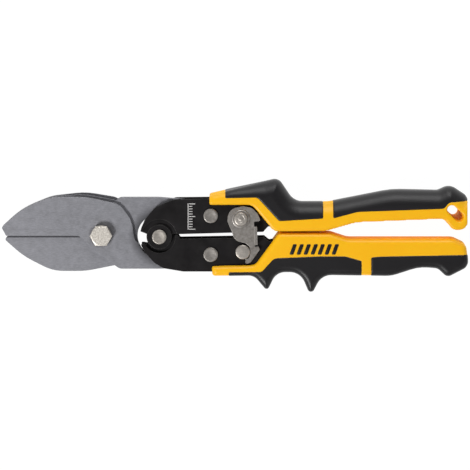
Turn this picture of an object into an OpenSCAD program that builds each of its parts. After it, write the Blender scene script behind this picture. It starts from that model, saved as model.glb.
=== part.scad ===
// Compound-action hand crimper: five leaf-shaped crimping blades on a pivot bolt, driven by two
// channel handles with two-colour grips and a swinging thumb latch. Millimetres.
// The tool lies flat: +X runs from the jaws to the grip ends, +Z is up through the pivot bolt.
// The origin is on the pivot bolt's axis, at the level of the table.

/* [Blades] */
// Thickness of one blade
blade_t = 1.9; // [1.5:0.1:2.4]
// Air gap between neighbouring blades
blade_gap = 0.1; // [0.05:0.05:0.2]
// Length of the jaws in front of the pivot bolt
jaw_len = 57; // [45:1:70]
// Height of the upper jaw over the closing line
upper_jaw_h = 21.9; // [18:0.1:24]
// Depth of the lower jaw under the closing line
lower_jaw_h = 20.4; // [18:0.1:24]
// Extra height of the rear upper blade behind the others
rear_crown = 2.2; // [0:0.1:3]
// Height of the upper jaw's tip over the closing line
upper_tip_h = 4.6; // [3:0.1:7]
// Depth of the lower jaw's tip under the closing line
lower_tip_h = 2.4; // [2:0.1:7]
// How far each crimping edge passes the closing line
edge_overlap = 0.2; // [0.1:0.1:1.5]
// Depth of the ground band along the crimping edge
grind_depth = 0.25; // [0.1:0.05:0.5]

/* [Linkage] */
// Distance from the pivot bolt to the hub pin of the handles
hub_x = 33.3; // [31:0.1:40]
// Distance from the pivot bolt to the two tail rivets
tail_x = 62.7; // [56:0.1:75]
// Height of the upper handle's tail rivet over the centre line
upper_tail_y = 11.5; // [11:0.1:12.5]
// Depth of the lower handle's tail rivet under the centre line
lower_tail_y = 10.8; // [10:0.1:12]
// Radius of the eye at the end of each blade's tail
eye_r = 7; // [6:0.1:7.3]
// Radius of the room that the blades leave around the hub
hub_room_r = 12.6; // [9:0.1:13.5]

/* [Handles] */
// Thickness of the steel plates of the handles
plate_t = 2; // [1.6:0.1:2.4]
// Gap between the outer blades and the handle plates
side_gap = 0.3; // [0.2:0.05:0.6]
// Distance from the pivot bolt to the end of the grips
handle_end = 210; // [190:1:250]
// Height of the upper steel channel over the centre line
upper_channel_y = 21.6; // [21:0.1:22.2]
// Depth of the lower steel channel under the centre line
lower_channel_y = 20.5; // [20:0.1:21.2]
// Distance from the pivot bolt to the end of the steel inside the grips
tang_end = 150; // [140:1:160]

/* [Grips] */
// Thickness of the grips
grip_t = 22; // [21:0.5:28]
// Thickness of the rubber over the grip cores
skin = 2; // [1.4:0.1:2.4]
// Width of the lanyard slot
slot_w = 5.2; // [4:0.1:6]

/* [Fasteners] */
// Radius of the pivot bolt's shank
bolt_r = 3.175; // [2.5:0.025:4]
// Width across the flats of the pivot bolt's head and nut
hex_af = 11.11; // [9:0.01:13]
// Height of the pivot bolt's head
hex_h = 4.2; // [3:0.1:5]
// Radius of the hub pin's shank
hub_r = 3.1; // [2.5:0.1:3.8]
// Radius of the hub washers
hub_washer_r = 6.9; // [6:0.1:7.2]
// Radius of the rivets' shanks
rivet_r = 3; // [2.2:0.1:3.6]
// Radius of the rivets' heads
rivet_head_r = 4.15; // [3.8:0.05:4.6]
// Height of the rivets' heads
rivet_head_h = 1.1; // [0.8:0.1:1.4]

/* [Latch] */
// Thickness of the latch plate
latch_t = 2; // [1.6:0.1:2.4]
// Height of the thumb tab over the latch plate
tab_h = 3.6; // [2:0.1:5]
// Radius of the catch post's neck that the latch hooks
neck_r = 2; // [1.6:0.1:2.4]
// Turn of the latch as stored, measured from the hook lying around the post's head
latch_turn = 2; // [2:0.5:3]

/* [Clearances] */
// Radial clearance of pieces that turn on a pin
run_gap = 0.06; // [0.03:0.01:0.1]
// Radial clearance of pieces that are fixed on a pin
press_gap = 0.02; // [0.01:0.01:0.03]
// Radial clearance at the tail rivet of the upper handle
loose_gap = 0.3; // [0.2:0.05:0.4]
// Axial play between stacked pieces
play = 0.05; // [0.03:0.01:0.1]

/* [Hidden] */
$fn = 64;

mid_z = grip_t / 2;
blade_pitch = blade_t + blade_gap;
stack_t = 5 * blade_t + 4 * blade_gap;
stack_top = mid_z + stack_t / 2;
plate_in = stack_t / 2 + side_gap;
plate_out = plate_in + plate_t;
plate_top = mid_z + plate_out;
ear_top = mid_z + plate_in - 2 * play;
ear_r = hub_washer_r + 0.4;
ear_step = 3.4;
hub_y = -0.5;
hub = [hub_x, hub_y];
upper_tail = [tail_x, upper_tail_y];
lower_tail = [tail_x, -lower_tail_y];
latch_at = [tail_x + 17.2, 9.9];
post_at = [tail_x + 18.3, -9.1];
latch_z = plate_top + 4 * play;
washer_t = 0.8;
hub_washer_t = 1;
hub_head_h = 1.2;
web_x = tail_x + 3;
grip_fit = 0.1;
arc_step = 6;
steel = [0.52, 0.52, 0.54];
black_steel = [0.13, 0.12, 0.13];
zinc = [0.8, 0.78, 0.75];
yellow = [0.98, 0.72, 0.08];
rubber = [0.17, 0.16, 0.18];

function height_of_blade(layer) = stack_top - blade_t - layer * blade_pitch;
function flipped(points) = [for (p = points) [p[0], -p[1], p[2]]];

// A corner of an outline, turned into an arc of its radius that touches both of its sides
function corner_arc(before, at, after, r) =
    let (
        u = (before - at) / norm(before - at),
        v = (after - at) / norm(after - at),
        half = acos(max(-1, min(1, u * v))) / 2,
        side = u[0] * v[1] - u[1] * v[0] > 0 ? 1 : -1,
        reach = r / tan(half),
        centre = at + (u + v) / norm(u + v) * r / sin(half),
        start = at + u * reach - centre,
        sweep = -side * (180 - 2 * half),
        steps = max(2, ceil(abs(sweep) / arc_step))
    )
    [for (i = [0 : steps])
        let (a = sweep * i / steps)
        centre + [start[0] * cos(a) - start[1] * sin(a), start[0] * sin(a) + start[1] * cos(a)]];

// An outline from corners given as [x, y, radius]
function rounded(corners) =
    let (n = len(corners), flat = [for (c = corners) [c[0], c[1]]])
    [for (i = [0 : n - 1])
        each (corners[i][2] > 0
            ? corner_arc(flat[(i + n - 1) % n], flat[i], flat[(i + 1) % n], corners[i][2])
            : [flat[i]])];

module outline(corners) {
    polygon(rounded(corners));
}

module disc(at, r, z, h) {
    translate([at[0], at[1], z]) cylinder(r = r, h = h);
}

module ring(at, r_in, r_out, z, h) {
    difference() {
        disc(at, r_out, z, h);
        disc(at, r_in, z - 1, h + 2);
    }
}

module slab(z_low, z_high) {
    translate([0, 0, z_low]) linear_extrude(z_high - z_low) children();
}

// ---- Blades ----

// Outline of a blade whose tail crosses the centre line and runs below the hub
function blade_corners(len, h, tip_h, eye, tail_low, heel_x, crown) = [
    [-len, tip_h, 1.2],
    [-len * 0.8, tip_h + h * 0.48, 45],
    [-len * 0.5, h * 1.01, 25],
    [-len * 0.16, h * 1.01 + crown, 40],
    [hub_x * 0.315, h * 0.82 + crown * 1.4, 9],
    [heel_x - 0.7, h * 0.39, 17],
    [heel_x + 0.9, -h * 0.23, 6],
    [hub_x + 13, -6.4, 0],
    [eye[0] + eye_r, eye[1] + eye_r, eye_r * 0.93],
    [eye[0] + eye_r, eye[1] - eye_r, eye_r * 0.93],
    [hub_x, -tail_low, 30],
    [10.4, -tail_low, 5],
    [-4, -8.2, 0.5],
    [-12.6, -edge_overlap, 3],
    [-len + 2.6, -edge_overlap, 0.4]
];

module blade_plan(corners, eye, hub_at, bolt_bore, tail_bore) {
    difference() {
        outline(corners);
        circle(bolt_bore);
        translate(eye) circle(tail_bore);
        translate(hub_at) circle(hub_room_r);
    }
}

module upper_blade(layer, crown) {
    z = height_of_blade(layer);
    corners = blade_corners(jaw_len, upper_jaw_h, upper_tip_h, lower_tail, lower_channel_y - 1.4,
        hub_x * 0.55, crown);
    slab(z, z + blade_t)
        blade_plan(corners, lower_tail, hub, bolt_r + press_gap, rivet_r + run_gap);
}

// The lower blades are drawn upside down and mirrored into place
module lower_blade(layer) {
    z = height_of_blade(layer);
    eye = [tail_x, -upper_tail_y];
    corners = blade_corners(jaw_len - 1.6, lower_jaw_h, lower_tip_h, eye, upper_channel_y,
        hub_x * 0.68, 0);
    slab(z, z + blade_t)
        mirror([0, 1])
            blade_plan(corners, eye, [hub_x, -hub_y], bolt_r + run_gap, rivet_r + loose_gap);
}

module ground_band() {
    translate([-jaw_len, -2 * edge_overlap, stack_top - grind_depth])
        cube([jaw_len - 14, 2 * edge_overlap + 3.8, 2 * grind_depth]);
}

module upper_blade_front() {
    color(steel)
        difference() {
            upper_blade(0, 0);
            ground_band();
        }
}

module upper_blade_middle() { color(steel) upper_blade(2, rear_crown * 0.5); }
module upper_blade_rear() { color(steel) upper_blade(4, rear_crown); }
module lower_blade_front() { color(steel) lower_blade(1); }
module lower_blade_rear() { color(steel) lower_blade(3); }

// ---- Pivot bolt ----

bolt_washer_t = 0.5;
bolt_seat = stack_top + play + bolt_washer_t;
nut_seat = mid_z - stack_t / 2 - play - bolt_washer_t;
chamfer = 0.6;

module hex_prism(z, h) {
    translate([0, 0, z]) cylinder(r = hex_af / 2 / cos(30), h = h, $fn = 6);
}

// A hexagon whose corners are turned down by a cone at each end that is chamfered
module hex_part(z, h, top_chamfer, low_chamfer) {
    r = hex_af / 2 / cos(30);
    top_fall = top_chamfer ? chamfer : 0;
    low_fall = low_chamfer ? chamfer : 0;
    intersection() {
        hex_prism(z, h);
        union() {
            disc([0, 0], r + 1, z + low_fall, h - top_fall - low_fall);
            if (top_chamfer)
                translate([0, 0, z + h - chamfer]) cylinder(r1 = r, r2 = hex_af / 2 - 0.4, h = chamfer);
            if (low_chamfer)
                translate([0, 0, z]) cylinder(r1 = hex_af / 2 - 0.4, r2 = r, h = chamfer);
        }
    }
}

module pivot_bolt() {
    color(zinc) {
        hex_part(bolt_seat, hex_h, true, false);
        disc([0, 0], bolt_r, 0, bolt_seat);
    }
}

module pivot_washers() {
    color(zinc) {
        ring([0, 0], bolt_r + press_gap, hex_af / 2 + 0.3, stack_top + play, bolt_washer_t);
        ring([0, 0], bolt_r + press_gap, hex_af / 2 + 0.8, nut_seat, bolt_washer_t);
    }
}

module pivot_nut() {
    color(zinc)
        difference() {
            hex_part(0, nut_seat, false, true);
            disc([0, 0], bolt_r + press_gap, -1, nut_seat + 2);
        }
}

// ---- Handles ----

upper_channel_corners = [
    [hub_x - 10.9, 2.6, 0.5],
    [hub_x - 7.8, 9.8, 8],
    [hub_x - 2.5, 16.2, 9],
    [hub_x + 9, upper_channel_y - 0.6, 8],
    [tail_x + 34, upper_channel_y, 5],
    [tail_x + 44, 15.6, 6],
    [tang_end, 16.4, 2],
    [tang_end, 11.4, 2],
    [tail_x + 66, 5.8, 10],
    [tail_x + 32.8, 5.4, 0.6],
    [tail_x + 30, 2.3, 0.6],
    [hub_x + 12, 1, 0],
    [hub_x, 0.8, 0],
    [hub_x - 6.5, 0.8, 0.5]
];

lower_channel_corners = [
    [hub_x - 10.8, -4.7, 0.6],
    [hub_x - 8, -9.8, 8],
    [hub_x - 3, -15.4, 8],
    [hub_x + 2.2, -18.6, 6],
    [hub_x + 13.7, -lower_channel_y, 6],
    [tail_x + 29, -lower_channel_y, 4],
    [tail_x + 38, -17.2, 5],
    [tang_end, -15, 2],
    [tang_end, -6, 2],
    [tail_x + 74, -4.4, 4],
    [tail_x + 36, -2.9, 1],
    [tail_x + 33.4, -3.2, 0.6],
    [tail_x + 30.6, -0.9, 0.6],
    [hub_x + 12, -1.75, 0.8],
    [hub_x + 10.6, 0.3, 0.6],
    [hub_x + 6, 0.3, 0],
    [hub_x, -5, 0]
];

module upper_channel_plan() {
    outline(upper_channel_corners);
    translate(hub) circle(ear_r);
}

module lower_channel_plan() {
    difference() {
        outline(lower_channel_corners);
        translate(hub) circle(ear_r + 2);
    }
}

// Strip along the outer edge of a channel, where its bottom joins the two plates
module web_plan(shift) {
    difference() {
        children();
        translate([0, shift]) children();
        translate([-100, -100]) square([100 + web_x, 200]);
        translate([tang_end - 1.5, -100]) square([100, 200]);
    }
}

module both_sides() {
    children();
    translate([0, 0, 2 * mid_z]) mirror([0, 0, 1]) children();
}

module upper_handle_channel() {
    color(black_steel)
        difference() {
            union() {
                both_sides() slab(mid_z + plate_in, plate_top) upper_channel_plan();
                slab(mid_z - plate_out, plate_top)
                    intersection() {
                        web_plan(-plate_t) upper_channel_plan();
                        translate([0, 12]) square([400, 40]);
                    }
            }
            disc(hub, hub_r + run_gap, 0, grip_t);
            disc(upper_tail, rivet_r + press_gap, 0, grip_t);
            disc(latch_at, rivet_r - 0.6 + press_gap, 0, grip_t);
            ring(hub, hub_washer_r + 0.05, hub_washer_r + 3.1, plate_top - 0.7, 1);
        }
}

// The inner ear on the hub, and the step around it that joins it to the outer plate
module inner_ear() {
    slab(ear_top - plate_t, ear_top) {
        translate(hub) circle(ear_r);
        intersection() {
            outline(lower_channel_corners);
            translate(hub) circle(ear_r + ear_step);
        }
    }
    slab(ear_top - plate_t, plate_top)
        intersection() {
            lower_channel_plan();
            translate(hub) circle(ear_r + ear_step);
        }
}

module lower_handle_channel() {
    color(black_steel)
        difference() {
            union() {
                both_sides() {
                    slab(mid_z + plate_in, plate_top) lower_channel_plan();
                    inner_ear();
                }
                slab(mid_z - plate_out, plate_top)
                    intersection() {
                        web_plan(plate_t) lower_channel_plan();
                        translate([0, -52]) square([400, 40]);
                    }
            }
            disc(hub, hub_r + press_gap, 0, grip_t);
            disc(lower_tail, rivet_r + press_gap, 0, grip_t);
            disc(post_at, rivet_r + press_gap, 0, grip_t);
        }
}

// ---- Hub ----

module hub_pin() {
    color(zinc) {
        disc(hub, hub_r, mid_z - plate_out - hub_washer_t - play, 2 * (plate_out + hub_washer_t + play));
        both_sides() disc(hub, rivet_head_r, plate_top + play + hub_washer_t, hub_head_h);
    }
}

module hub_washers() {
    color(black_steel)
        both_sides() ring(hub, hub_r + press_gap, hub_washer_r, plate_top + play, hub_washer_t);
}

inner_gap = 2 * (ear_top - plate_t - mid_z);
spacer_r = hub_r + 1.1;

module hub_spacer() {
    color(zinc)
        ring(hub, hub_r + press_gap, spacer_r, mid_z - inner_gap / 2 + play, inner_gap - 2 * play);
}

wire_r = 0.6;
coil_r = spacer_r + 0.25 + wire_r;
coil_turns = 3;
coil_rise = (inner_gap - 2 * wire_r - 12 * play) / coil_turns;

function coil_point(a) = [coil_r * cos(a), coil_r * sin(a), (a / 360 - coil_turns / 2) * coil_rise];

// A round wire wound around the hub, with a straight leg at each end
module opening_spring() {
    sides = 8;
    steps = 24 * coil_turns;
    rings = [for (i = [0 : steps])
        let (a = i * 360 / 24, c = coil_point(a))
        [for (j = [0 : sides - 1])
            c + wire_r * (cos(j * 360 / sides) * [cos(a), sin(a), 0] + [0, 0, sin(j * 360 / sides)])]];
    points = [for (r = rings) each r];
    walls = [for (i = [0 : steps - 1])
        for (j = [0 : sides - 1])
            [i * sides + j, i * sides + (j + 1) % sides, (i + 1) * sides + (j + 1) % sides, (i + 1) * sides + j]];
    first = [for (j = [sides - 1 : -1 : 0]) j];
    last = [for (j = [0 : sides - 1]) steps * sides + j];
    color(steel)
        translate([hub[0], hub[1], mid_z]) {
            polyhedron(points, concat([first], walls, [last]), convexity = 6);
            translate(coil_point(0)) rotate([90, 0, 0]) cylinder(r = wire_r * 0.98, h = 3.5, $fn = 12);
            translate(coil_point(360 * coil_turns)) rotate([-90, 0, 0]) cylinder(r = wire_r * 0.98, h = 4.2, $fn = 12);
        }
}

// ---- Tail rivets ----

module through_rivet(at, shank_r) {
    disc(at, shank_r, mid_z - plate_out, 2 * plate_out);
    both_sides() disc(at, rivet_head_r, plate_top, rivet_head_h);
}

module upper_tail_rivet() { color(zinc) through_rivet(upper_tail, rivet_r); }
module lower_tail_rivet() { color(zinc) through_rivet(lower_tail, rivet_r); }

module tail_spacer(at, layer, bore) {
    ring(at, bore, eye_r - 1, height_of_blade(layer) - blade_gap + play, blade_t + 2 * (blade_gap - play));
}

module upper_tail_spacers() {
    color(steel)
        for (layer = [0, 2, 4])
            tail_spacer(upper_tail, layer, rivet_r + loose_gap);
}

module lower_tail_spacers() {
    color(steel)
        for (layer = [1, 3])
            tail_spacer(lower_tail, layer, rivet_r + run_gap);
}

// ---- Latch ----

// The hook's inner edge stands this far from the post's axis
hook_r = 3.3;
post_from_latch = post_at - latch_at;
lip_x = post_from_latch[0] + 0.75;
tab_x = 7.5;
tab_low = -14.9;
tab_high = -4.6;

// Latch outline about its own pivot
latch_corners = [
    [1.5, 7.3, 6],
    [-6.8, 5.6, 6],
    [-7.6, -1, 4],
    [-3.6, -12.4, 5],
    [2.2, -14, 1],
    [post_from_latch[0] + hook_r, post_from_latch[1] + 3, 2],
    [post_from_latch[0] + hook_r, post_from_latch[1] - 4, 2],
    [lip_x, post_from_latch[1] - 4, 0.3],
    [lip_x, post_from_latch[1] - 7, 1],
    [post_from_latch[0] + 3.4, post_from_latch[1] - 6.4, 3.5],
    [10.4, -17.8, 1.6],
    [9.4, -16.2, 0.6],
    [tab_x, -16.2, 0.4],
    [tab_x, -1.8, 0.5],
    [11.4, -1.5, 0.8],
    [9.7, 2.6, 3],
    [6.6, 6, 4]
];

module at_latch() {
    translate([latch_at[0], latch_at[1], 0]) rotate(latch_turn) children();
}

module latch_plate() {
    color(zinc)
        difference() {
            at_latch() {
                slab(latch_z, latch_z + latch_t) {
                    outline(latch_corners);
                    translate([tab_x - 1, tab_low + 0.3]) square([1.8, tab_high - tab_low - 0.6]);
                }
                translate([tab_x, tab_low, latch_z])
                    cube([1.6, tab_high - tab_low, latch_t + tab_h]);
            }
            disc(latch_at, rivet_r - 0.6 + run_gap, 0, 2 * grip_t);
        }
}

module latch_washer() {
    color(zinc)
        ring(latch_at, rivet_r - 0.6 + run_gap, 5.3, latch_z + latch_t + play, washer_t);
}

module latch_rivet() {
    head_z = latch_z + latch_t + 2 * play + washer_t;
    color(zinc) {
        disc(latch_at, rivet_r - 0.6, mid_z - plate_out, head_z - mid_z + plate_out);
        disc(latch_at, rivet_head_r - 0.3, head_z, 1);
        disc(latch_at, rivet_head_r, mid_z - plate_out - rivet_head_h, rivet_head_h);
    }
}

module catch_post() {
    color(zinc) {
        disc(post_at, rivet_r, mid_z - plate_out, 2 * plate_out);
        disc(post_at, neck_r, plate_top, 4 * play + latch_t + play);
        disc(post_at, rivet_head_r, latch_z + latch_t + play, rivet_head_h);
        disc(post_at, rivet_head_r, mid_z - plate_out - rivet_head_h, rivet_head_h);
    }
}

// ---- Grips ----

upper_grip_corners = [
    [tail_x - 0.9, 17.8, 0.8],
    [tail_x + 23.6, 17.8, 6.5],
    [tail_x + 36.1, 2.4, 6],
    [tail_x + 66.3, 2.9, 12],
    [tail_x + 83.3, 7.8, 25],
    [handle_end - 14.5, 9.8, 4],
    [handle_end - 9, 3.4, 4],
    [handle_end, 3.4, 5],
    [handle_end - 0.5, 14, 20],
    [handle_end, 22, 5],
    [handle_end - 10.4, 28.9, 7],
    [handle_end - 17.5, 25.7, 4],
    [tail_x + 103.3, 26.3, 50],
    [tail_x + 67.3, 19.2, 25],
    [tail_x + 47.8, 19.2, 9],
    [tail_x + 38.8, 32.6, 5],
    [tail_x - 0.9, 23.4, 1.5]
];

upper_front_region = [
    [tail_x + 8.2, 21.8, 0],
    [tail_x + 26.6, 22.1, 3],
    [tail_x + 39, 8.6, 2],
    [tail_x + 64.4, 10.1, 0.8],
    [tail_x + 64.4, 40, 0],
    [tail_x + 8.2, 40, 0]
];

upper_rear_region = [
    [tail_x + 69.8, 10.1, 0.8],
    [tail_x + 84, 13.9, 12],
    [handle_end - 14, 15.7, 3],
    [handle_end - 11.2, 19.2, 3],
    [handle_end + 5, 20.3, 0],
    [handle_end + 5, 40, 0],
    [tail_x + 69.8, 40, 0]
];

lower_grip_corners = [
    [tail_x + 0.6, -17.1, 1],
    [tail_x + 25.3, -16.4, 5],
    [tail_x + 38.6, 1.8, 2],
    [tail_x + 68.3, 1.8, 8],
    [tail_x + 78.3, -1.5, 10],
    [handle_end - 8.5, -1.5, 8],
    [handle_end - 1.2, -5, 4],
    [handle_end - 0.2, -12, 6],
    [handle_end, -17.6, 5],
    [handle_end - 12, -23.8, 3.5],
    [handle_end - 17.5, -18.6, 5],
    [handle_end - 28, -17.8, 25],
    [tail_x + 103.3, -23, 20],
    [tail_x + 63.6, -22.4, 9],
    [tail_x + 57.2, -34.8, 2],
    [tail_x + 51.2, -20.8, 9],
    [tail_x + 37.6, -20.8, 8],
    [tail_x + 32.3, -31.8, 1.6],
    [tail_x + 24.8, -22.7, 7],
    [tail_x + 0.6, -23, 2]
];

lower_front_region = [
    [tail_x + 10.2, -20.4, 0],
    [tail_x + 29, -20.3, 3],
    [tail_x + 36.2, -12.4, 5],
    [tail_x + 62, -11.3, 0],
    [tail_x + 77, -11.3, 8],
    [tail_x + 86.4, -14, 0.8],
    [tail_x + 86.4, -50, 0],
    [tail_x + 10.2, -50, 0]
];

lower_rear_region = [
    [tail_x + 91.6, -11.9, 0.8],
    [handle_end - 50, -11.4, 0],
    [handle_end + 5, -10.4, 0],
    [handle_end + 5, -50, 0],
    [tail_x + 91.6, -50, 0]
];

slot_from = [handle_end - 9.7, 15.2];
slot_to = [handle_end - 5.4, 10.9];
slot_back = slot_from + 0.35 * (slot_to - slot_from);

// Space inside a grip that its steel channel fills
module channel_space() {
    slab(mid_z - plate_out - grip_fit, plate_top + grip_fit)
        offset(delta = grip_fit)
            children();
}

module under_skin(corners) {
    slab(skin, grip_t - skin) offset(delta = -skin) outline(corners);
}

module grip_core(corners, front_region, rear_region) {
    difference() {
        union() {
            slab(0, grip_t)
                difference() {
                    outline(corners);
                    outline(front_region);
                    outline(rear_region);
                }
            under_skin(corners);
        }
        channel_space() children();
    }
}

module overmold(corners, region) {
    difference() {
        slab(0, grip_t)
            intersection() {
                outline(corners);
                outline(region);
            }
        under_skin(corners);
        channel_space() children();
    }
}

module upper_grip_core() {
    color(yellow)
        difference() {
            grip_core(upper_grip_corners, upper_front_region, upper_rear_region) upper_channel_plan();
            hull() {
                disc(slot_from, slot_w / 2, -1, grip_t + 2);
                disc(slot_to, slot_w / 2, grip_t, 1);
                disc(slot_back, slot_w / 2, -1, 1);
            }
        }
}

module upper_front_overmold() {
    color(rubber) overmold(upper_grip_corners, upper_front_region) upper_channel_plan();
}

module upper_rear_overmold() {
    color(rubber) overmold(upper_grip_corners, upper_rear_region) upper_channel_plan();
}

module lower_grip_core() {
    color(yellow)
        grip_core(lower_grip_corners, lower_front_region, lower_rear_region) lower_channel_plan();
}

module lower_front_overmold() {
    color(rubber) overmold(lower_grip_corners, lower_front_region) lower_channel_plan();
}

module lower_rear_overmold() {
    color(rubber) overmold(lower_grip_corners, lower_rear_region) lower_channel_plan();
}

upper_blade_front();
upper_blade_middle();
upper_blade_rear();
lower_blade_front();
lower_blade_rear();
pivot_bolt();
pivot_washers();
pivot_nut();
upper_handle_channel();
lower_handle_channel();
hub_pin();
hub_washers();
hub_spacer();
opening_spring();
upper_tail_rivet();
lower_tail_rivet();
upper_tail_spacers();
lower_tail_spacers();
latch_plate();
latch_rivet();
latch_washer();
catch_post();
upper_grip_core();
upper_front_overmold();
upper_rear_overmold();
lower_grip_core();
lower_front_overmold();
lower_rear_overmold();
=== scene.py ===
import math
import bpy
import numpy as np
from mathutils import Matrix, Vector


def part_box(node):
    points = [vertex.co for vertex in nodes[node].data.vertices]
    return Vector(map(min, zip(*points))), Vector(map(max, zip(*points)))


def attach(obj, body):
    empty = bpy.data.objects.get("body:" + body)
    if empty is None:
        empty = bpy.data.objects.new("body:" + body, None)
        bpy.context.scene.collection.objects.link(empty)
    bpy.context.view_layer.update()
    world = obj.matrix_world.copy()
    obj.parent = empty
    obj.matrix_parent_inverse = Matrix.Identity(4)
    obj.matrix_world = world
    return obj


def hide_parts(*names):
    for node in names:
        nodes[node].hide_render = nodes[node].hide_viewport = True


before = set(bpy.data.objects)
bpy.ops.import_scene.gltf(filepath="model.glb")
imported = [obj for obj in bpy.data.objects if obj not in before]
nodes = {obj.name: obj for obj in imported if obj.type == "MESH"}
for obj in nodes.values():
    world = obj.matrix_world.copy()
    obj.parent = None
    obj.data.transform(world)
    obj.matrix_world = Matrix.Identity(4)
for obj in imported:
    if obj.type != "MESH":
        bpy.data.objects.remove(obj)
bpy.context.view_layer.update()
mm = 0.001


# A paint-chart hex value turned to the linear colour that the shader wants
def hexColour(code):
    parts = [int(code[i:i + 2], 16) / 255 for i in (0, 2, 4)]
    return [p / 12.92 if p <= 0.04045 else ((p + 0.055) / 1.055) ** 2.4 for p in parts] + [1.0]


# Adds a node, sets its properties and sockets, and links what feeds it
def addNode(tree, kind, values=None, links=None, **properties):
    made = tree.nodes.new(kind)
    for name, value in properties.items():
        setattr(made, name, value)
    for name, value in (values or {}).items():
        made.inputs[name].default_value = value
    for name, source in (links or {}).items():
        tree.links.new(source, made.inputs[name])
    return made


# A material with its shader and the object coordinates in metres that its patterns are laid in
def newMaterial(name, roughness, metallic=0.0, **shaderValues):
    made = bpy.data.materials.new(name)
    made.use_nodes = True
    tree = made.node_tree
    shader = tree.nodes["Principled BSDF"]
    shader.inputs["Roughness"].default_value = roughness
    shader.inputs["Metallic"].default_value = metallic
    for socket, value in shaderValues.items():
        shader.inputs[socket.replace("_", " ")].default_value = value
    place = addNode(tree, "ShaderNodeTexCoord").outputs["Object"]
    return made, tree, shader, place


# Noise whose patches are about the given size in millimetres; stretch makes it run along an axis
def noiseAt(tree, place, patch, detail=4.0, stretch=(1, 1, 1)):
    laid = addNode(tree, "ShaderNodeMapping", {"Scale": stretch}, {"Vector": place})
    return addNode(tree, "ShaderNodeTexNoise", {"Scale": 1 / (patch * mm), "Detail": detail, "Roughness": 0.6},
                   {"Vector": laid.outputs[0]}).outputs[0]


# Two colours shared out by a noise, with a soft border between them
def cloudColour(tree, fac, dark, light, spread=0.18):
    ramp = addNode(tree, "ShaderNodeValToRGB", links={"Fac": fac})
    ends = ramp.color_ramp.elements
    ends[0].position, ends[1].position = 0.5 - spread, 0.5 + spread
    ends[0].color, ends[1].color = hexColour(dark), hexColour(light)
    return ramp.outputs["Color"]


# Lays one colour over another, by a share that is a number or a mask
def mixColour(tree, a, b, fac=1.0, blend="MULTIPLY"):
    links = {6: a, 7: b}
    values = {}
    if isinstance(fac, float):
        values[0] = fac
    else:
        links[0] = fac
    return addNode(tree, "ShaderNodeMix", values, links, data_type="RGBA", blend_type=blend).outputs[2]


# A noise or mask spread to the range that the shader wants
def mapped(tree, fac, low, high, fromLow=0.3, fromHigh=0.7):
    return addNode(tree, "ShaderNodeMapRange",
                   {"From Min": fromLow, "From Max": fromHigh, "To Min": low, "To Max": high},
                   {"Value": fac}).outputs[0]


# Relief of the given depth in millimetres, over another relief where there is one
def bumpFrom(tree, height, depth, strength=1.0, below=None):
    links = {"Height": height}
    if below:
        links["Normal"] = below
    return addNode(tree, "ShaderNodeBump", {"Strength": strength, "Distance": depth * mm}, links).outputs[0]


# A stamped or cut edge is broken by a small radius, in millimetres
def brokenEdge(tree, radius):
    return addNode(tree, "ShaderNodeBevel", {"Radius": radius * mm}, samples=4).outputs[0]


# 1 on an edge, 0 on flat faces: where a finish has rubbed off, and where an edge gets a painted highlight
def edgeWearAndHighlight(tree, radius, sharp=0.9):
    soft = addNode(tree, "ShaderNodeBevel", {"Radius": radius * mm}, samples=4).outputs[0]
    flat = addNode(tree, "ShaderNodeNewGeometry").outputs["Normal"]
    turn = addNode(tree, "ShaderNodeVectorMath", links={0: soft, 1: flat}, operation="DOT_PRODUCT")
    return mapped(tree, turn.outputs["Value"], 1.0, 0.0, sharp, 0.995)


# Links colour, roughness and relief to the shader, each where there is one
def finishWith(tree, shader, colour=None, rough=None, normal=None):
    for socket, source in (("Base Color", colour), ("Roughness", rough), ("Normal", normal)):
        if source:
            tree.links.new(source, shader.inputs[socket])


# Places that several pieces share, in millimetres: hub, tail rivets, end of the grips, outsides of the plates
hub = (33.3, -0.5, 11.0)
tailX = 62.7
endX = 210.0
plateFaces = (3.75, 18.25)

# The shade keys set painted shade on the blades: round the bolt, round the hub, and a painted shadow line under
# the crimping edge
bladeSteel = {"dark": "929297", "light": "9d9da3", "cloud": 3.5, "grit": 0.5, "rough": (0.46, 0.56),
              "speckle": ("e9e9e9", "ffffff"), "paintedShadeTone": "2c2b2e", "boltShade": 0.5, "boltShadeReach": (5.6, 7.6),
              "hubShade": 0.7, "hubShadeReach": (12.6, 18.0), "edgeShadowLine": 0.8, "edgeShadowAlong": (-54.0, -12.4),
              "edgeShadowAcross": (-1.15, -0.1)}


# A mask made weaker by a share
def scaled(tree, value, share):
    return addNode(tree, "ShaderNodeMath", {1: share}, {0: value}, operation="MULTIPLY").outputs[0]


# 1 where a coordinate in metres lies between two bounds in millimetres, fading out over the given width
def between(tree, value, low, high, fade):
    rise = mapped(tree, value, 0.0, 1.0, (low - fade) * mm, low * mm)
    fall = mapped(tree, value, 1.0, 0.0, high * mm, (high + fade) * mm)
    return addNode(tree, "ShaderNodeMath", links={0: rise, 1: fall}, operation="MULTIPLY").outputs[0]


# 1 on faces that lie flat, 0 on upright walls
def flatness(tree):
    where = addNode(tree, "ShaderNodeTexCoord")
    parts = addNode(tree, "ShaderNodeSeparateXYZ", links={0: where.outputs["Normal"]})
    return addNode(tree, "ShaderNodeMath", links={0: parts.outputs[2]}, operation="ABSOLUTE").outputs[0]


# Roughness that is higher on upright walls, where sheared or demoulded faces are dull, by the given amount
def duller(tree, rough, more):
    wall = mapped(tree, flatness(tree), more, 0.0, 0.0, 0.5)
    return addNode(tree, "ShaderNodeMath", links={0: rough, 1: wall}, operation="ADD").outputs[0]
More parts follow.
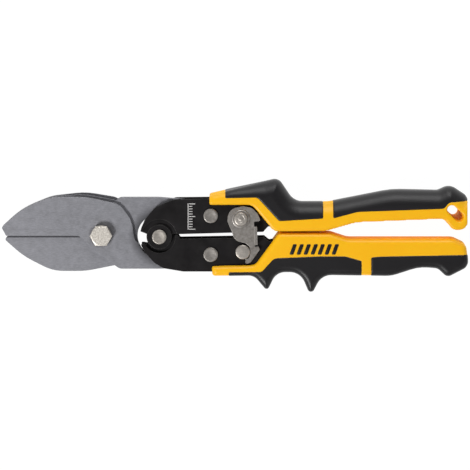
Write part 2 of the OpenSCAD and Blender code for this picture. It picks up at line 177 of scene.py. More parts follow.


# Strength of painted shade around an upright axis, fading out between two radii in millimetres
def roundShade(tree, place, centre, strength, radii):
    away = addNode(tree, "ShaderNodeVectorMath", {1: tuple(c * mm for c in centre)}, {0: place},
                   operation="SUBTRACT")
    flat = addNode(tree, "ShaderNodeVectorMath", {1: (1, 1, 0)}, {0: away.outputs[0]}, operation="MULTIPLY")
    reach = addNode(tree, "ShaderNodeVectorMath", links={0: flat.outputs[0]}, operation="LENGTH")
    return mapped(tree, reach.outputs["Value"], strength, 0.0, radii[0] * mm, radii[1] * mm)


# Hardened steel sheet, tumbled and dull nickel plated: an even soft grey, faintly clouded, with short grinding
# marks. Painted shade darkens it round the bolt and round the hub under the handle plates, and a painted shadow
# line runs under the crimping edge.
def makeDullPlatedSteel(name, shadeWhere=None):
    made, tree, shader, place = newMaterial(name, 0.5, 0.8)
    cloud = noiseAt(tree, place, bladeSteel["cloud"])
    # real grinding marks are about 0.05 mm apart; drawn ten times as coarse so that they show
    marks = noiseAt(tree, place, bladeSteel["grit"], 3.0, (0.25, 1, 1))
    speckle = cloudColour(tree, marks, *bladeSteel["speckle"])
    colour = mixColour(tree, cloudColour(tree, cloud, bladeSteel["dark"], bladeSteel["light"], 0.25), speckle)
    # painted shade: a dark tone mixed in round the bolt or under the crimping edge, and round the hub
    if shadeWhere:
        parts = addNode(tree, "ShaderNodeSeparateXYZ", links={0: place})
        if shadeWhere == "bolt":
            # painted shade: a dark ring round the bolt
            mask = roundShade(tree, place, (0, 0, 0), bladeSteel["boltShade"], bladeSteel["boltShadeReach"])
        else:
            # painted shadow: a dark line just below the crimping edge
            along = between(tree, parts.outputs[0], *bladeSteel["edgeShadowAlong"], 0.4)
            across = between(tree, parts.outputs[1], *bladeSteel["edgeShadowAcross"], 0.35)
            mask = addNode(tree, "ShaderNodeMath", links={0: along, 1: across}, operation="MULTIPLY").outputs[0]
            mask = scaled(tree, mask, bladeSteel["edgeShadowLine"])
        # painted shade: a dark ring round the hub, where the handle plates overhang the blades
        around = roundShade(tree, place, hub, bladeSteel["hubShade"], bladeSteel["hubShadeReach"])
        mask = addNode(tree, "ShaderNodeMath", links={0: mask, 1: around}, operation="MAXIMUM").outputs[0]
        paintedShadeTone = cloudColour(tree, cloud, bladeSteel["paintedShadeTone"], bladeSteel["paintedShadeTone"])
        colour = mixColour(tree, colour, paintedShadeTone, mask, "MIX")
    finishWith(tree, shader, colour, mapped(tree, cloud, *bladeSteel["rough"]),
               bumpFrom(tree, marks, 0.01, 0.6, brokenEdge(tree, 0.15)))
    return made


blackOxide = {"dark": "151314", "light": "1d1b1c", "cloud": 9.0, "grain": 0.35, "rough": (0.34, 0.46),
              "bare": "6f6c6a"}


# Stamped steel, black oxide finish: near black with a satin sheen, rubbed to bare steel at its edges
def makeBlackOxideSteel():
    made, tree, shader, place = newMaterial("blackOxideSteel", 0.4, 0.0, Specular_IOR_Level=0.2)
    cloud = noiseAt(tree, place, blackOxide["cloud"])
    grain = noiseAt(tree, place, blackOxide["grain"], 2.0)
    colour = cloudColour(tree, cloud, blackOxide["dark"], blackOxide["light"])
    worn = addNode(tree, "ShaderNodeMath", links={0: edgeWearAndHighlight(tree, 0.3), 1: mapped(tree, cloud, 0.1, 0.6)},
                   operation="MULTIPLY").outputs[0]
    bare = cloudColour(tree, grain, blackOxide["bare"], blackOxide["bare"])
    colour = mixColour(tree, colour, bare, worn, "MIX")
    finishWith(tree, shader, colour, duller(tree, mapped(tree, cloud, *blackOxide["rough"]), 0.5),
               bumpFrom(tree, grain, 0.015, 0.5, brokenEdge(tree, 0.3)))
    return made


zincPlate = {"dark": "cfc8bd", "light": "f3ede4", "speck": 0.9, "rough": (0.3, 0.46)}


# Bright zinc plate over a forged bolt: pale and warm, speckled where the plating is rough
def makeBrightZinc():
    made, tree, shader, place = newMaterial("brightZincPlate", 0.3, 0.55)
    speck = noiseAt(tree, place, zincPlate["speck"], 5.0)
    colour = cloudColour(tree, speck, zincPlate["dark"], zincPlate["light"], 0.14)
    finishWith(tree, shader, colour, mapped(tree, speck, *zincPlate["rough"]),
               bumpFrom(tree, speck, 0.04, 0.6, brokenEdge(tree, 0.3)))
    return made


rivetSteel = {"speck": 1.6, "rough": (0.38, 0.5), "edgeHighlight": "d9d4cd", "dull": ("8a8580", "a9a49f"),
              "satin": ("a09a93", "bfb8b0")}


# Dull zinc on cold-headed rivets and on the stamped latch: a warm grey with a soft mottle, so that it reads as
# worn plating, with a painted highlight along the edges; the headed pieces that move are polished a little
# lighter
def makeDullZinc(name, dark, light):
    made, tree, shader, place = newMaterial(name, 0.42, 0.75)
    speck = noiseAt(tree, place, rivetSteel["speck"], 5.0)
    fine = noiseAt(tree, place, 0.4, 3.0)
    colour = cloudColour(tree, speck, dark, light, 0.16)
    edgeHighlightTone = cloudColour(tree, speck, rivetSteel["edgeHighlight"], rivetSteel["edgeHighlight"])
    # painted highlight: a pale tone along the edges
    colour = mixColour(tree, colour, edgeHighlightTone, scaled(tree, edgeWearAndHighlight(tree, 0.35), 0.5), "MIX")
    finishWith(tree, shader, colour, mapped(tree, fine, *rivetSteel["rough"]),
               bumpFrom(tree, fine, 0.02, 0.6, brokenEdge(tree, 0.25)))
    return made


yellowPlastic = {"base": "fdba05", "light": "febf0c", "cloud": 30.0, "grain": 0.4, "rough": (0.36, 0.44)}


# Injection moulded polypropylene, semi-gloss: saturated yellow, a fine spark-eroded grain on a soft highlight
def makeYellowPlastic():
    made, tree, shader, place = newMaterial("mouldedPolypropylene", 0.4, 0.0, IOR=1.49, Subsurface_Weight=0.06,
                                            Subsurface_Scale=0.001, Specular_IOR_Level=0.4)
    cloud = noiseAt(tree, place, yellowPlastic["cloud"], 2.0)
    grain = noiseAt(tree, place, yellowPlastic["grain"], 2.0)
    finishWith(tree, shader, cloudColour(tree, cloud, yellowPlastic["base"], yellowPlastic["light"]),
               duller(tree, mapped(tree, grain, *yellowPlastic["rough"]), 0.4),
               bumpFrom(tree, grain, 0.012, 0.5))
    return made


rubber = {"dark": "0e0c0f", "light": "131114", "cloud": 12.0, "grain": 0.55, "rough": (0.38, 0.48)}


# Thermoplastic elastomer overmould: charcoal, a wide soft highlight broken by a fine leather-like grain
def makeElastomer():
    made, tree, shader, place = newMaterial("thermoplasticElastomer", 0.5, 0.0, IOR=1.51,
                                            Specular_IOR_Level=0.42)
    cloud = noiseAt(tree, place, rubber["cloud"], 3.0)
    grain = noiseAt(tree, place, rubber["grain"], 2.0)
    finishWith(tree, shader, cloudColour(tree, cloud, rubber["dark"], rubber["light"]),
               mapped(tree, grain, *rubber["rough"]), bumpFrom(tree, grain, 0.03, 0.6))
    return made


inkWhite = {"thin": "b8b6b4", "full": "dedcda", "patch": 0.7}


# Screen-printed enamel ink: flat white, a little thin in places so that the black shows through
def makeWhiteInk():
    made, tree, shader, place = newMaterial("screenPrintInk", 0.6)
    thin = noiseAt(tree, place, inkWhite["patch"], 3.0)
    colour = cloudColour(tree, thin, inkWhite["thin"], inkWhite["full"], 0.2)
    finishWith(tree, shader, colour, None, bumpFrom(tree, thin, 0.01, 0.4))
    return made


dullPlatedSteel, blackOxideSteel = makeDullPlatedSteel("dullPlatedSteel"), makeBlackOxideSteel()
# Two copies of the plated steel with painted shade: one round the bolt and the hub, one under the crimping edge
# and round the hub
paintedShadeAtBolt = makeDullPlatedSteel("dullPlatedSteelPaintedShadeAtBolt", "bolt")
paintedShadeAtEdge = makeDullPlatedSteel("dullPlatedSteelPaintedShadeAtEdge", "edge")
brightZinc, dullZinc = makeBrightZinc(), makeDullZinc("dullZincPlate", *rivetSteel["dull"])
satinZinc = makeDullZinc("satinZincPlate", *rivetSteel["satin"])
yellow, elastomer, whiteInk = makeYellowPlastic(), makeElastomer(), makeWhiteInk()
print("materials made")


# The corner of an outline turned into an arc that touches both of its sides
def cornerArc(before, at, after, radius, step=8.0):
    u, v = before - at, after - at
    u, v = u / np.linalg.norm(u), v / np.linalg.norm(v)
    half = math.acos(max(-1.0, min(1.0, float(u @ v)))) / 2
    reach = radius / math.tan(half)
    centre = at + (u + v) / np.linalg.norm(u + v) * radius / math.sin(half)
    first, last = at + u * reach - centre, at + v * reach - centre
    start = math.atan2(first[1], first[0])
    sweep = (math.atan2(last[1], last[0]) - start + math.pi) % (2 * math.pi) - math.pi
    count = max(2, math.ceil(abs(math.degrees(sweep)) / step))
    angles = start + sweep * np.arange(count + 1) / count
    return centre + radius * np.stack([np.cos(angles), np.sin(angles)], 1)


# An outline in millimetres from corners given as (x, y, radius)
def roundedOutline(corners):
    flat = [np.array(c[:2], float) for c in corners]
    n = len(flat)
    parts = [cornerArc(flat[i - 1], flat[i], flat[(i + 1) % n], corners[i][2]) if corners[i][2]
             else flat[i][None] for i in range(n)]
    return np.concatenate(parts)


# Distance of points from the nearest of some straight stretches
def segmentDistance(points, starts, ends):
    best = np.full(len(points), 1e9)
    for a, b in zip(starts, ends):
        along = b - a
        t = np.clip(((points - a) @ along) / max(along @ along, 1e-12), 0, 1)
        gap = points - a - t[:, None] * along
        best = np.minimum(best, gap[:, 0] ** 2 + gap[:, 1] ** 2)
    return np.sqrt(best)


# Which points lie inside an outline, by counting the sides to one hand
def insideOutline(points, outline):
    found = np.zeros(len(points), bool)
    for a, b in zip(outline, np.roll(outline, -1, 0)):
        crosses = (a[1] > points[:, 1]) != (b[1] > points[:, 1])
        if a[1] != b[1]:
            x = a[0] + (points[:, 1] - a[1]) * (b[0] - a[0]) / (b[1] - a[1])
            found ^= crosses & (points[:, 0] < x)
    return found


# How far points lie outside an outline; negative inside
def outlineGap(points, outline):
    gap = segmentDistance(points, outline, np.roll(outline, -1, 0))
    return np.where(insideOutline(points, outline), -gap, gap)


# A mesh piece from points in millimetres, which rides on a body and may stand for nodes of the frame
def newPiece(name, points, faces, material, body, slot, sharp=None, replaces=()):
    mesh = bpy.data.meshes.new(name)
    mesh.from_pydata([tuple(p) for p in np.asarray(points, float) * mm], [], [tuple(f) for f in faces])
    mesh.validate()
    mesh.shade_smooth()
    if sharp:
        mesh.set_sharp_from_angle(angle=math.radians(sharp))
    piece = bpy.data.objects.new(name, mesh)
    bpy.context.scene.collection.objects.link(piece)
    piece.data.materials.append(material)
    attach(piece, body)
    if replaces:
        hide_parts(*replaces)
    return piece


# The surface where a field on a grid is nought, as points and four-sided faces, drawn close by a few slides
def netSurface(field, origin, cell):
    near = [slice(0, -1), slice(1, None)]
    total = np.zeros(tuple(s - 1 for s in field.shape) + (3,))
    hits = np.zeros(tuple(s - 1 for s in field.shape))
    for axis in range(3):
        others = [k for k in range(3) if k != axis]
        for p in (0, 1):
            for q in (0, 1):
                pick = [None] * 3
                pick[others[0]], pick[others[1]] = near[p], near[q]
                low, high = list(pick), list(pick)
                low[axis], high[axis] = near[0], near[1]
                a, b = field[tuple(low)], field[tuple(high)]
                cut = (a < 0) != (b < 0)
                t = np.where(cut, a / np.where(cut, a - b, 1), 0)
                total[..., axis] += np.where(cut, t, 0)
                total[..., others[0]] += cut * p
                total[..., others[1]] += cut * q
                hits += cut
    cells = np.argwhere(hits > 0)
    number = np.full(hits.shape, -1)
    number[tuple(cells.T)] = np.arange(len(cells))
    places = cells + total[tuple(cells.T)] / hits[tuple(cells.T)][:, None]
    faces = []
    for axis in range(3):
        u, v = (axis + 1) % 3, (axis + 2) % 3
        low, high = [slice(None)] * 3, [slice(None)] * 3
        low[axis], high[axis] = near
        a, b = field[tuple(low)] < 0, field[tuple(high)] < 0
        for into, order in ((a & ~b, 1), (~a & b, -1)):
            at = np.argwhere(into)
            one, two = at[:, u], at[:, v]
            at = at[(one > 0) & (two > 0) & (one < number.shape[u]) & (two < number.shape[v])]
            ring = []
            for du, dv in ((1, 1), (0, 1), (0, 0), (1, 0)):
                corner = at.copy()
                corner[:, u] -= du
                corner[:, v] -= dv
                ring.append(number[tuple(corner.T)])
            faces.append(np.stack(ring[::order], 1))
    slopes = np.gradient(field)
    for _ in range(3):
        base = np.clip(np.floor(places).astype(int), 0, np.array(field.shape) - 2)
        part = places - base
        value, slope = 0, np.zeros_like(places)
        for corner in np.ndindex(2, 2, 2):
            weight = np.prod(np.where(corner, part, 1 - part), axis=1)
            here = tuple((base + corner).T)
            value = value + weight * field[here]
            slope += weight[:, None] * np.stack([s[here] for s in slopes], 1)
        steep = np.maximum((slope ** 2).sum(1), 0.05 * cell ** 2)
        places = places - np.clip(value / steep, -0.7, 0.7)[:, None] * slope
    return np.array(origin) + places * cell, np.concatenate(faces)


grips = {
    "thickness": 22.0, "cell": 0.5, "skin": 2.0, "step": 0.18, "seamRadius": 0.5,
    "channelFrom": 3.6, "channelRoom": 0.15,
    "upper": {
        "corners": [
            (tailX - 0.9, 17.8, 0.8), (tailX + 23.6, 17.8, 6.5), (tailX + 36.1, 2.4, 6),
            (tailX + 66.3, 2.9, 12), (tailX + 83.3, 7.8, 25), (endX - 14.5, 9.8, 4), (endX - 9, 3.4, 4),
            (endX, 3.4, 5), (endX - 0.5, 14, 20), (endX, 22, 5), (endX - 10.4, 28.9, 7), (endX - 17.5, 25.7, 4),
            (tailX + 103.3, 26.3, 50), (tailX + 67.3, 19.2, 25), (tailX + 47.8, 19.2, 9),
            (tailX + 38.8, 32.6, 5), (tailX - 0.9, 23.4, 1.5)],
        "front": [
            (tailX + 8.2, 21.8, 0), (tailX + 26.6, 22.1, 3), (tailX + 39, 8.6, 2), (tailX + 64.4, 10.1, 0.8),
            (tailX + 64.4, 40, 0), (tailX + 8.2, 40, 0)],
        "rear": [
            (tailX + 69.8, 10.1, 0.8), (tailX + 84, 13.9, 12), (endX - 14, 15.7, 3), (endX - 11.2, 19.2, 3),
            (endX + 5, 20.3, 0), (endX + 5, 40, 0), (tailX + 69.8, 40, 0)],
        "softSide": (0, 1), "softFrom": (74.0, 94.0), "softRadius": (4.0, 9.0), "hardRadius": 1.6},
    "lower": {
        "corners": [
            (tailX + 0.6, -17.1, 1), (tailX + 25.3, -16.4, 5), (tailX + 38.6, 1.8, 2), (tailX + 68.3, 1.8, 8),
            (tailX + 78.3, -1.5, 10), (endX - 8.5, -1.5, 8), (endX - 1.2, -5, 4), (endX - 0.2, -12, 6),
            (endX, -17.6, 5), (endX - 12, -23.8, 3.5), (endX - 17.5, -18.6, 5), (endX - 28, -17.8, 25),
            (tailX + 103.3, -23, 20), (tailX + 63.6, -22.4, 9), (tailX + 57.2, -34.8, 2),
            (tailX + 51.2, -20.8, 9), (tailX + 37.6, -20.8, 8), (tailX + 32.3, -31.8, 1.6),
            (tailX + 24.8, -22.7, 7), (tailX + 0.6, -23, 2)],
        "front": [
            (tailX + 10.2, -20.4, 0), (tailX + 29, -20.3, 3), (tailX + 36.2, -12.4, 5), (tailX + 62, -11.3, 0),
            (tailX + 77, -11.3, 8), (tailX + 86.4, -14, 0.8), (tailX + 86.4, -50, 0), (tailX + 10.2, -50, 0)],
        "rear": [
            (tailX + 91.6, -11.9, 0.8), (endX - 50, -11.4, 0), (endX + 5, -10.4, 0), (endX + 5, -50, 0),
            (tailX + 91.6, -50, 0)],
        "softSide": (0, -1), "softFrom": (74.0, 94.0), "softRadius": (2.5, 3.5), "hardRadius": 3.0}}
lanyardSlot = {"from": (endX - 9.7, 15.2), "to": (endX - 5.4, 10.9), "width": 5.2, "backReach": 0.35}
hangTo = {"upper": lanyardSlot, "lower": None}


# Fills a corner between two fields with a small radius instead of a crease
def softMax(a, b, radius):
    both = np.maximum(radius - np.abs(a - b), 0)
    return np.maximum(a, b) + both * both / (4 * radius)


# The slab between two heights with its rim rounded; depth is how far in from the rim a point lies
def roundedSlab(depth, rise, radius):
    a, b = radius - depth, rise + radius
    return np.minimum(np.maximum(a, b), 0) + np.hypot(np.maximum(a, 0), np.maximum(b, 0)) - radius


# The loops round the faces of a frame node that lie flat at a height, the widest loop first
def cadOutline(node, level):
    mesh = nodes[node].data
    points = np.array([v.co for v in mesh.vertices]) / mm
    key = {}
    merged = [key.setdefault(tuple(np.round(p, 3)), i) for i, p in enumerate(points)]
    used = {}
    for face in mesh.polygons:
        if all(abs(points[i][2] - level) < 0.005 for i in face.vertices):
            ids = [merged[i] for i in face.vertices]
            for a, b in zip(ids, ids[1:] + ids[:1]):
                used[(a, b)] = True
    following = {a: b for a, b in used if (b, a) not in used}
    loops = []
    while following:
        start = next(iter(following))
        loop, at = [], start
        while at in following:
            loop.append(points[at][:2])
            at = following.pop(at)
        loops.append(np.array(loop))
    return sorted(loops, key=lambda o: -np.ptp(o[:, 0]) * np.ptp(o[:, 1]))


# One handle's yellow core and its two rubber skins, cut out of one rounded body round the steel channel
def makeGrip(side, body):
    facts = grips[side]
    cell, top = grips["cell"], grips["thickness"]
    outline = roundedOutline(facts["corners"])
    low, high = outline.min(0) - 3 * cell, outline.max(0) + 3 * cell
    xs, ys = (np.arange(low[k], high[k], cell) for k in (0, 1))
    zs = np.arange(-3 * cell, top + 3 * cell, cell)
    flat = np.stack(np.meshgrid(xs, ys, indexing="ij"), -1).reshape(-1, 2)
    shape = (len(xs), len(ys), 1)
    starts, ends = outline, np.roll(outline, -1, 0)
    turn = np.sign(((starts[:, 0] * ends[:, 1]) - (starts[:, 1] * ends[:, 0])).sum())
    out = np.stack([ends[:, 1] - starts[:, 1], starts[:, 0] - ends[:, 0]], 1) * turn
    out /= np.maximum(np.linalg.norm(out, axis=1), 1e-9)[:, None]
    soft = out @ np.array(facts["softSide"], float) > 0.3
    inside = insideOutline(flat, outline)
    toSoft, toHard = (segmentDistance(flat, starts[pick], ends[pick]) for pick in (soft, ~soft))
    edge = np.minimum(toSoft, toHard)
    softDepth = np.where(inside, toSoft, -edge).reshape(shape)
    hardDepth = np.where(inside, toHard, -edge).reshape(shape)
    rise = (np.abs(zs - top / 2) - top / 2)[None, None, :]
    softRadius = np.interp(xs, facts["softFrom"], facts["softRadius"]).reshape(-1, 1, 1)
    hardRadius = facts["hardRadius"]
    body3d = np.maximum(roundedSlab(softDepth, rise, softRadius), roundedSlab(hardDepth, rise, hardRadius))
    channel = cadOutline(side + "_handle_channel", plateFaces[1])[0]
    room = np.maximum(outlineGap(flat, channel).reshape(shape) - grips["channelRoom"],
                      np.abs(zs - top / 2)[None, None, :] - (top / 2 - grips["channelFrom"]))
    front, rear = (outlineGap(flat, roundedOutline(facts[k])).reshape(shape) for k in ("front", "rear"))
    under = np.clip(-(np.minimum(front, rear) + 0.25) / 1.2, 0, 1)
    core = np.maximum(body3d + grips["step"] + (grips["skin"] - 0.3) * under, -room)
    if hangTo[side]:
        a, b = np.array(hangTo[side]["from"]), np.array(hangTo[side]["to"])
        gap = np.zeros(core.shape)
        for k, z in enumerate(zs):
            share = hangTo[side]["backReach"] + (1 - hangTo[side]["backReach"]) * min(max(z / top, 0), 1)
            gap[:, :, k] = segmentDistance(flat, [a], [a + share * (b - a)]).reshape(shape[:2])
        core = softMax(core, hangTo[side]["width"] / 2 - gap, 1.0)
    origin = (xs[0], ys[0], zs[0])
    newPiece(side + "GripCore", *netSurface(core, origin, cell), yellow, body, "yellow_plastic",
             replaces=[side + "_grip_core"])
    for name, region in (("Front", front), ("Rear", rear)):
        skin = softMax(body3d, np.broadcast_to(region, body3d.shape), grips["seamRadius"])
        skin = np.maximum(np.maximum(skin, -(body3d + grips["skin"])), -room)
        newPiece(side + name + "Overmould", *netSurface(skin, origin, cell), elastomer, body, "black_rubber",
                 replaces=[side + "_" + name.lower() + "_overmold"])
    print(side, "grip made")


makeGrip("upper", "upper_handle")
makeGrip("lower", "lower_handle")


# A profile of (radius, height) turned about an upright axis; one that ends where it began makes a ring
def turned(name, at, profile, material, body, slot, replaces=(), segments=72):
    points, faces = [], []
    rings = []
    for k, (r, z) in enumerate(profile):
        if k and (r, z) == profile[0]:
            rings.append(rings[0])
        elif r == 0:
            rings.append([len(points)] * segments)
            points.append((at[0], at[1], z))
        else:
            rings.append(list(range(len(points), len(points) + segments)))
            points += [(at[0] + r * math.cos(a), at[1] + r * math.sin(a), z)
                       for a in (2 * math.pi * k / segments for k in range(segments))]
    for one, two in zip(rings, rings[1:]):
        for k in range(segments):
            m = (k + 1) % segments
            faces.append(list(dict.fromkeys([one[k], one[m], two[m], two[k]])))
    return newPiece(name, points, faces, material, body, slot, sharp=35, replaces=replaces)


# Corners of a frame node in millimetres
def boxOf(node):
    low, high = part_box(node)
    return np.array(low) / mm, np.array(high) / mm


rivets = {"head": 4.15, "shank": 3.0, "edge": 0.45, "sink": 0.12, "hubShank": 3.1, "hubSeats": (2.7, 19.3)}


# A headed pin: broken rims, a slightly sunk face where the heading tool pressed
def makeRivet(name, node, shank, material, body, seats=plateFaces):
    low, high = boxOf(node)
    at = (low + high) / 2
    head, edge, sink = rivets["head"], rivets["edge"], rivets["sink"]

    def face(r, z, way):
        rim = [(r - edge + edge * math.sin(a), z - way * edge * (1 - math.cos(a)))
               for a in (math.pi / 2 * k / 4 for k in range(5))]
        return [(0, z - way * sink), (r * 0.55, z - way * sink), (r * 0.68, z)] + rim

    bottom = face(head, low[2], -1)
    crest = face(head, high[2], 1)
    profile = bottom + [(head, seats[0]), (shank, seats[0]), (shank, seats[1]), (head, seats[1])] + crest[::-1]
    return turned(name, at, profile, material, body, "zinc", [node])


makeRivet("upperTailRivet", "upper_tail_rivet", rivets["shank"], dullZinc, "upper_handle")
makeRivet("lowerTailRivet", "lower_tail_rivet", rivets["shank"], dullZinc, "lower_handle")
makeRivet("hubPin", "hub_pin", rivets["hubShank"], satinZinc, "lower_handle", rivets["hubSeats"])


# The plain back head of a stepped pin, up to the shank of the given radius
def backHead(base, shank):
    rim = rivets["head"]
    return [(0, base), (rim - rivets["edge"], base), (rim, base + rivets["edge"]), (rim, plateFaces[0]),
            (shank, plateFaces[0])]


latchRivet = {"head": 3.85, "shank": 2.4, "headHeight": 1.0, "washerBore": 2.5}


# The latch turns on a shouldered rivet over a dished washer
def makeLatchRivet():
    low, high = boxOf("latch_rivet")
    at = (low + high) / 2
    top, rim, shank = high[2], latchRivet["head"], latchRivet["shank"]
    under = top - latchRivet["headHeight"]
    profile = backHead(low[2], shank) + [
        (shank, under), (rim, under), (rim, top - 0.45), (rim - 0.15, top - 0.2), (rim - 0.45, top - 0.05),
        (rim - 0.8, top), (2.2, top), (1.9, top - 0.25), (0.9, top - 0.25), (0.6, top - 0.1), (0, top - 0.1)]
    turned("latchRivet", at, profile, satinZinc, "upper_handle", "zinc", ["latch_rivet"])
    low, high = boxOf("latch_washer")
    bore, out, base, crest = latchRivet["washerBore"], (high - low)[0] / 2, low[2], high[2]
    profile = [(bore, base), (out - 0.1, base), (out, base + 0.15), (out - 0.05, base + 0.45),
               (out - 0.3, crest - 0.1), (out - 0.6, crest), (out - 1.3, crest),
               (out - 1.5, crest - 0.15), (bore, crest - 0.15), (bore, base)]
    turned("latchWasher", at, profile, dullZinc, "upper_handle", "zinc", ["latch_washer"])


catchPost = {"shank": 3.0, "neck": 2.0, "headHeight": 1.1}


# The post has a neck under its head, which the latch hooks
def makeCatchPost():
    low, high = boxOf("catch_post")
    at = (low + high) / 2
    top, rim, shoulder = high[2], rivets["head"], high[2] - catchPost["headHeight"]
    shank, neck = catchPost["shank"], catchPost["neck"]
    profile = backHead(low[2], shank) + [
        (shank, plateFaces[1]), (neck, plateFaces[1]), (neck, shoulder), (rim - 0.1, shoulder),
        (rim, shoulder + 0.1), (rim, top - 0.5), (rim - 0.12, top - 0.25), (rim - 0.4, top - 0.05),
        (rim - 0.7, top), (0, top - 0.05)]
    turned("catchPost", at, profile, satinZinc, "lower_handle", "zinc", ["catch_post"])


makeLatchRivet()
makeCatchPost()
print("rivets made")


spring = {"wire": 0.6, "coil": 4.95, "turns": 3, "rise": 1.5, "leg": 4.0}


# A round wire wound round the hub between the ears, with its two ends led straight out
def makeSpring():
    path = []
    for k in range(spring["turns"] * 24 + 1):
        a = 2 * math.pi * k / 24
        path.append((hub[0] + spring["coil"] * math.cos(a), hub[1] + spring["coil"] * math.sin(a),
                     hub[2] + (k / 24 - spring["turns"] / 2) * spring["rise"]))
    first, last = np.array(path[0]), np.array(path[-1])
    path = [tuple(first + (0, -spring["leg"] + 0.5, 0))] + path + [tuple(last + (0, spring["leg"], 0))]
    curve = bpy.data.curves.new("openingSpring", "CURVE")
    curve.dimensions, curve.bevel_depth, curve.bevel_resolution = "3D", spring["wire"] * mm, 3
    curve.use_fill_caps = True
    line = curve.splines.new("POLY")
    line.points.add(len(path) - 1)
    for point, place in zip(line.points, path):
        point.co = tuple(c * mm for c in place) + (1,)
    piece = bpy.data.objects.new("openingSpring", curve)
    bpy.context.scene.collection.objects.link(piece)
    curve.materials.append(dullPlatedSteel)
    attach(piece, "lower_handle")
    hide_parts("opening_spring")


makeSpring()


# A flat shape with a rounded upper rim, standing on a face: outline in millimetres, base and top heights
def raisedPads(name, outlines, base, top, edge, material, body, slot):
    points, faces = [], []
    for outline in outlines:
        ahead, behind = np.roll(outline, -1, 0) - outline, outline - np.roll(outline, 1, 0)
        side = ahead / np.linalg.norm(ahead, axis=1)[:, None] + behind / np.linalg.norm(behind, axis=1)[:, None]
        inward = np.stack([-side[:, 1], side[:, 0]], 1) / np.linalg.norm(side, axis=1)[:, None]
        rings = [(0, base), (0, top - edge), (edge * 0.3, top - edge * 0.3), (edge, top)]
        n, start = len(outline), len(points)
        for inset, z in rings:
            points += [(p[0], p[1], z) for p in outline + inward * inset]
        for r in range(len(rings) - 1):
            for k in range(n):
                a, b = start + r * n + k, start + r * n + (k + 1) % n
                faces.append((a, b, b + n, a + n))
        faces.append(tuple(start + (len(rings) - 1) * n + k for k in range(n)))
        faces.append(tuple(start + k for k in reversed(range(n))))
    return newPiece(name, points, faces, material, body, slot, sharp=50)


gripRibs = {"first": 107.6, "pitch": 4.0, "count": 7, "width": 2.3, "low": -10.4, "high": -4.4, "lean": 2.2,
            "root": 20.5, "height": 0.35, "corner": 0.6}


# Slanted rubber ribs let into the yellow, where a thumb rests
def makeGripRibs():
    outlines = []
    for k in range(gripRibs["count"]):
        x, w, c = gripRibs["first"] + k * gripRibs["pitch"], gripRibs["width"], gripRibs["corner"]
        low, high, lean = gripRibs["low"], gripRibs["high"], gripRibs["lean"]
        outlines.append(roundedOutline([(x, low, c), (x + w, low, c), (x + w + lean, high, c),
                                        (x + lean, high, c)]))
    top = grips["thickness"] + gripRibs["height"] - grips["step"]
    raisedPads("gripRibs", outlines, gripRibs["root"], top, 0.3, elastomer, "lower_handle", "black_rubber")


plateScale = {"x": 49.6, "low": 3.6, "high": 18.6, "line": 0.45, "gap": 0.25, "ticks": 11, "short": 2.0,
              "long": 3.6, "ink": 0.04}


# A printed depth scale on the upper plate: one line with short and long marks
def makePlateScale():
    facts = plateScale
    outlines = []
    bars = [(facts["x"], facts["low"], facts["x"] + facts["line"], facts["high"])]
    for k in range(facts["ticks"]):
        y = facts["low"] + (facts["high"] - facts["low"] - facts["line"]) * k / (facts["ticks"] - 1)
        reach = facts["long"] if k % 5 == 0 else facts["short"]
        x = facts["x"] + facts["line"] + facts["gap"]
        bars.append((x, y, x + reach, y + facts["line"]))
    for x0, y0, x1, y1 in bars:
        outlines.append(np.array([(x0, y0), (x1, y0), (x1, y1), (x0, y1)]))
    face = plateFaces[1]
    raisedPads("plateScale", outlines, face - 0.05, face + facts["ink"], 0.02, whiteInk, "upper_handle", "zinc")


makeGripRibs()
makePlateScale()
print("small parts made")


# Finishes of the pieces that are kept from the frame
finishes = {
    "upper_blade_front": paintedShadeAtBolt, "upper_blade_middle": dullPlatedSteel,
    "upper_blade_rear": dullPlatedSteel, "lower_blade_front": paintedShadeAtEdge,
    "lower_blade_rear": dullPlatedSteel, "pivot_bolt": brightZinc,
    "pivot_washers": dullZinc, "pivot_nut": brightZinc, "upper_handle_channel": blackOxideSteel,
    "lower_handle_channel": blackOxideSteel, "hub_washers": blackOxideSteel, "hub_spacer": dullZinc,
    "upper_tail_spacers": dullPlatedSteel, "lower_tail_spacers": dullPlatedSteel,
    "latch_plate": dullZinc}
for node, finish in finishes.items():
    nodes[node].data.materials.clear()
    nodes[node].data.materials.append(finish)


studio = {
    "floor": 4.0, "floorGlow": 0.98, "floorColour": ("3c3c3c", "424242"), "overhead": 0.16, "horizon": 0.35,
    "tilt": 5.5, "away": 2.2, "span": 0.2684, "aim": (0.0766, 0.00069, 0.0202),
    "lights": {
        "keyLight": {"at": (-0.55, -0.56, 0.98), "power": 11.0, "wide": 0.28},
        "topPanel": {"at": (0.15, 1.0, 0.5), "power": 6.3, "wide": 0.68},
        "sideFill": {"at": (0.9, -0.5, 0.8), "power": 1.5, "wide": 0.8}}}


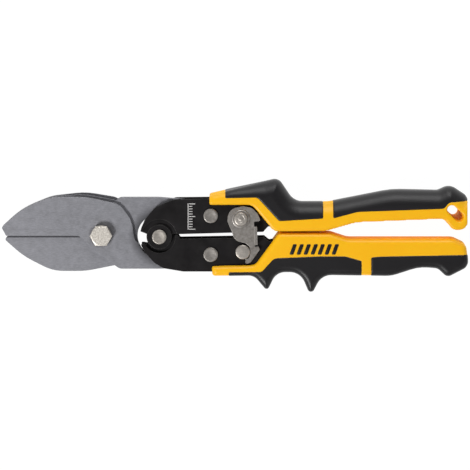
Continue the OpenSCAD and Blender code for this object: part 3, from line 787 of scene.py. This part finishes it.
# A pale sweep lit from behind, so it stays nearly white right up to the tool and in its gaps
def makeFloor():
    size = studio["floor"] / 2
    mesh = bpy.data.meshes.new("floor")
    corners = [(-size, -size, 0), (size, -size, 0), (size, size, 0), (-size, size, 0)]
    mesh.from_pydata(corners, [], [(0, 1, 2, 3)])
    floor = bpy.data.objects.new("floor", mesh)
    floor.location = (0, 0, -0.0001)
    made, tree, shader, place = newMaterial("litAcrylicSweep", 0.9, Emission_Color=(1, 1, 1, 1),
                                            Emission_Strength=studio["floorGlow"], Specular_IOR_Level=0.1)
    finishWith(tree, shader, cloudColour(tree, noiseAt(tree, place, 60.0), *studio["floorColour"]))
    mesh.materials.append(made)
    bpy.context.scene.collection.objects.link(floor)


# Studio air: bright round the horizon, dim overhead, so flat dark faces stay dark
def makeAir():
    world = bpy.data.worlds.new("studioAir")
    world.use_nodes = True
    tree = world.node_tree
    around = addNode(tree, "ShaderNodeTexCoord").outputs["Generated"]
    up = addNode(tree, "ShaderNodeSeparateXYZ", links={0: around})
    reach = {"From Min": 0.25, "From Max": 0.95, "To Min": studio["horizon"], "To Max": studio["overhead"]}
    level = addNode(tree, "ShaderNodeMapRange", reach, {"Value": up.outputs["Z"]},
                    interpolation_type="SMOOTHSTEP")
    tree.links.new(level.outputs[0], tree.nodes["Background"].inputs["Strength"])
    tree.nodes["Background"].inputs["Color"].default_value = (1, 1, 1, 1)
    bpy.context.scene.world = world


# Soft panels over and beside the tool, turned to the middle of its head
def makeLights():
    for name, facts in studio["lights"].items():
        data = bpy.data.lights.new(name, "AREA")
        data.energy, data.size = facts["power"], facts["wide"]
        light = bpy.data.objects.new(name, data)
        light.location = facts["at"]
        light.rotation_euler = (Vector((0.08, 0, 0)) - Vector(facts["at"])).to_track_quat("-Z", "Y").to_euler()
        bpy.context.scene.collection.objects.link(light)


# A long lens from nearly straight above, so that there is hardly any perspective
def makeCamera():
    data = bpy.data.cameras.new("camera")
    data.sensor_width = 36
    data.lens = data.sensor_width * studio["away"] / studio["span"]
    data.clip_end = 50
    camera = bpy.data.objects.new("camera", data)
    tilt = math.radians(studio["tilt"])
    camera.location = Vector(studio["aim"]) + studio["away"] * Vector((0, math.sin(tilt), math.cos(tilt)))
    camera.rotation_euler = (-tilt, 0, 0)
    bpy.context.scene.collection.objects.link(camera)
    bpy.context.scene.camera = camera
    bpy.context.scene.view_settings.view_transform = "Standard"


makeFloor()
makeAir()
makeLights()
makeCamera()
print("studio made")
